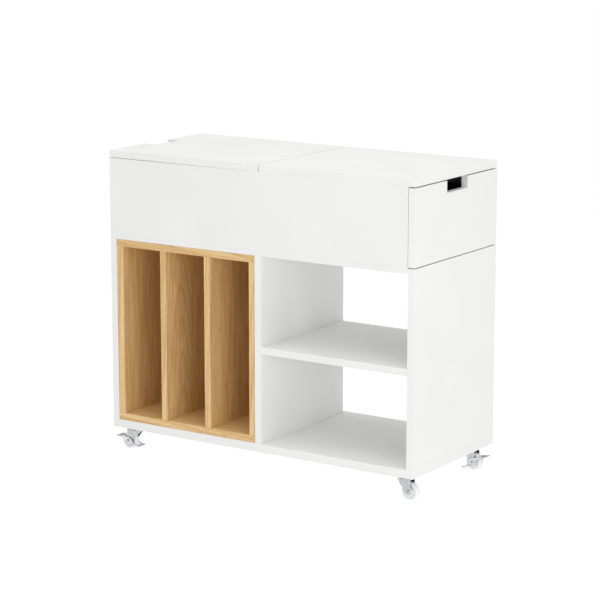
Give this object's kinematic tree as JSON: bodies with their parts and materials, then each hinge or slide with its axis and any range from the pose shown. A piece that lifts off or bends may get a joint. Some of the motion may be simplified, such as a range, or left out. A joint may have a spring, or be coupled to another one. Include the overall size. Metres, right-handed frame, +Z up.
{
  "type": "sewing table",
  "caption": "Rolling sewing table in white board with a hinged lid over a well, an end drawer, an oak insert with upright bays, an open niche with a shelf, and braked swivel castors.",
  "frame": {"origin": "on the floor, under the middle of the table's whole box", "axes": "+X to the drawer end, -Y to the front with the open bays, +Z up"},
  "size_m": [0.8186, 0.35, 0.6971],
  "materials": {
    "white_laminate": "white melamine on particle board, matt",
    "drawer_board": "anthracite melamine on thin board, matt",
    "oak_veneer": "natural oak, upright grain, satin",
    "dowel_beech": "plain beech",
    "castor_steel": "bright zinc plating on pressed steel",
    "runner_steel": "zinc plated rolled steel",
    "fastener_steel": "zinc plated",
    "hinge_brass": "satin brass",
    "bumper_rubber": "clear soft pad",
    "castor_plastic": "moulded off-white nylon"
  },
  "bodies": {
    "carcass": {"bottom_board": "white_laminate", "left_side_panel": "white_laminate", "right_side_panel": "white_laminate", "centre_partition": "white_laminate", "shelf": "white_laminate", "middle_board": "white_laminate", "front_panel": "white_laminate", "rear_panel": "white_laminate", "upper_divider": "white_laminate", "fixed_top": "white_laminate", "insert_left_wall": "oak_veneer", "insert_right_wall": "oak_veneer", "insert_top": "oak_veneer", "insert_bottom": "oak_veneer", "insert_divider_left": "oak_veneer", "insert_divider_right": "oak_veneer", "insert_back": "oak_veneer", "front_runner_cabinet": "runner_steel", "rear_runner_cabinet": "runner_steel", "top_hinge_barrels": "hinge_brass", "lid_bumpers": "bumper_rubber", "dowels": "dowel_beech", "cam_locks": "fastener_steel", "shelf_pins": "fastener_steel", "castor_screws": "fastener_steel", "castor_kingpins": "castor_steel", "front_left_castor_plate": "castor_steel", "front_right_castor_plate": "castor_steel", "rear_left_castor_plate": "castor_steel", "rear_right_castor_plate": "castor_steel"},
    "lid": {"lid": "white_laminate", "lid_hinge_barrels": "hinge_brass"},
    "hinge_link_pair": {"hinge_links": "fastener_steel"},
    "drawer": {"drawer_front": "white_laminate", "drawer_bottom": "drawer_board", "drawer_side_front": "drawer_board", "drawer_side_rear": "drawer_board", "drawer_end": "drawer_board", "drawer_inner_front": "drawer_board", "front_runner_drawer": "runner_steel", "rear_runner_drawer": "runner_steel"},
    "runner_middles": {"front_runner_middle": "runner_steel", "rear_runner_middle": "runner_steel"},
    "front_left_fork": {"front_left_castor_fork": "castor_steel", "front_left_castor_axle": "castor_steel"},
    "front_left_wheel": {"front_left_castor_wheel": "castor_plastic"},
    "front_left_brake": {"front_left_brake_lever": "castor_steel"},
    "front_right_fork": {"front_right_castor_fork": "castor_steel", "front_right_castor_axle": "castor_steel"},
    "front_right_wheel": {"front_right_castor_wheel": "castor_plastic"},
    "rear_left_fork": {"rear_left_castor_fork": "castor_steel", "rear_left_castor_axle": "castor_steel"},
    "rear_left_wheel": {"rear_left_castor_wheel": "castor_plastic"},
    "rear_right_fork": {"rear_right_castor_fork": "castor_steel", "rear_right_castor_axle": "castor_steel"},
    "rear_right_wheel": {"rear_right_castor_wheel": "castor_plastic"},
    "rear_right_brake": {"rear_right_brake_lever": "castor_steel"}
  },
  "joints": [
    {"name": "lid_hinge", "type": "hinge", "parent": "carcass", "child": "lid", "pos_m": [0.00752, 0, 0.6965], "axis": [0, 1, 0], "range_deg": [0, 179.5]},
    {"name": "hinge_link_turn", "type": "hinge", "parent": "carcass", "child": "hinge_link_pair", "pos_m": [0.00752, 0, 0.6965], "axis": [0, 1, 0], "range_deg": [0, 89.75]},
    {"name": "drawer_slide", "type": "slide", "parent": "carcass", "child": "drawer", "axis": [1, 0, 0], "range_m": [0, 0.3]},
    {"name": "runner_middle_slide", "type": "slide", "parent": "carcass", "child": "runner_middles", "axis": [1, 0, 0], "range_m": [0, 0.15]},
    {"name": "front_left_swivel", "type": "hinge", "parent": "carcass", "child": "front_left_fork", "pos_m": [-0.36228, -0.141, 0.056], "axis": [0, 0, 1], "continuous": true},
    {"name": "front_left_wheel_spin", "type": "hinge", "parent": "front_left_fork", "child": "front_left_wheel", "pos_m": [-0.37528, -0.141, 0.02], "axis": [0, -1, 0], "continuous": true},
    {"name": "front_left_brake_press", "type": "hinge", "parent": "front_left_fork", "child": "front_left_brake", "pos_m": [-0.37528, -0.141, 0.02], "axis": [0, -1, 0], "range_deg": [-14, 0]},
    {"name": "front_right_swivel", "type": "hinge", "parent": "carcass", "child": "front_right_fork", "pos_m": [0.36372, -0.141, 0.056], "axis": [0, 0, 1], "continuous": true},
    {"name": "front_right_wheel_spin", "type": "hinge", "parent": "front_right_fork", "child": "front_right_wheel", "pos_m": [0.37672, -0.141, 0.02], "axis": [0, 1, 0], "continuous": true},
    {"name": "rear_left_swivel", "type": "hinge", "parent": "carcass", "child": "rear_left_fork", "pos_m": [-0.36228, 0.141, 0.056], "axis": [0, 0, 1], "continuous": true},
    {"name": "rear_left_wheel_spin", "type": "hinge", "parent": "rear_left_fork", "child": "rear_left_wheel", "pos_m": [-0.37515, 0.14281, 0.02], "axis": [-0.1392, -0.9903, 0], "continuous": true},
    {"name": "rear_right_swivel", "type": "hinge", "parent": "carcass", "child": "rear_right_fork", "pos_m": [0.36372, 0.141, 0.056], "axis": [0, 0, 1], "continuous": true},
    {"name": "rear_right_wheel_spin", "type": "hinge", "parent": "rear_right_fork", "child": "rear_right_wheel", "pos_m": [0.3766, 0.13919, 0.02], "axis": [0.1392, 0.9903, 0], "continuous": true},
    {"name": "rear_right_brake_press", "type": "hinge", "parent": "rear_right_fork", "child": "rear_right_brake", "pos_m": [0.3766, 0.13919, 0.02], "axis": [0.1392, 0.9903, 0], "range_deg": [0, 14]}
  ],
  "couplings": [
    {"joint": "hinge_link_turn", "follows": "lid_hinge", "ratio": 0.5},
    {"joint": "runner_middle_slide", "follows": "drawer_slide", "ratio": 0.5}
  ]
}
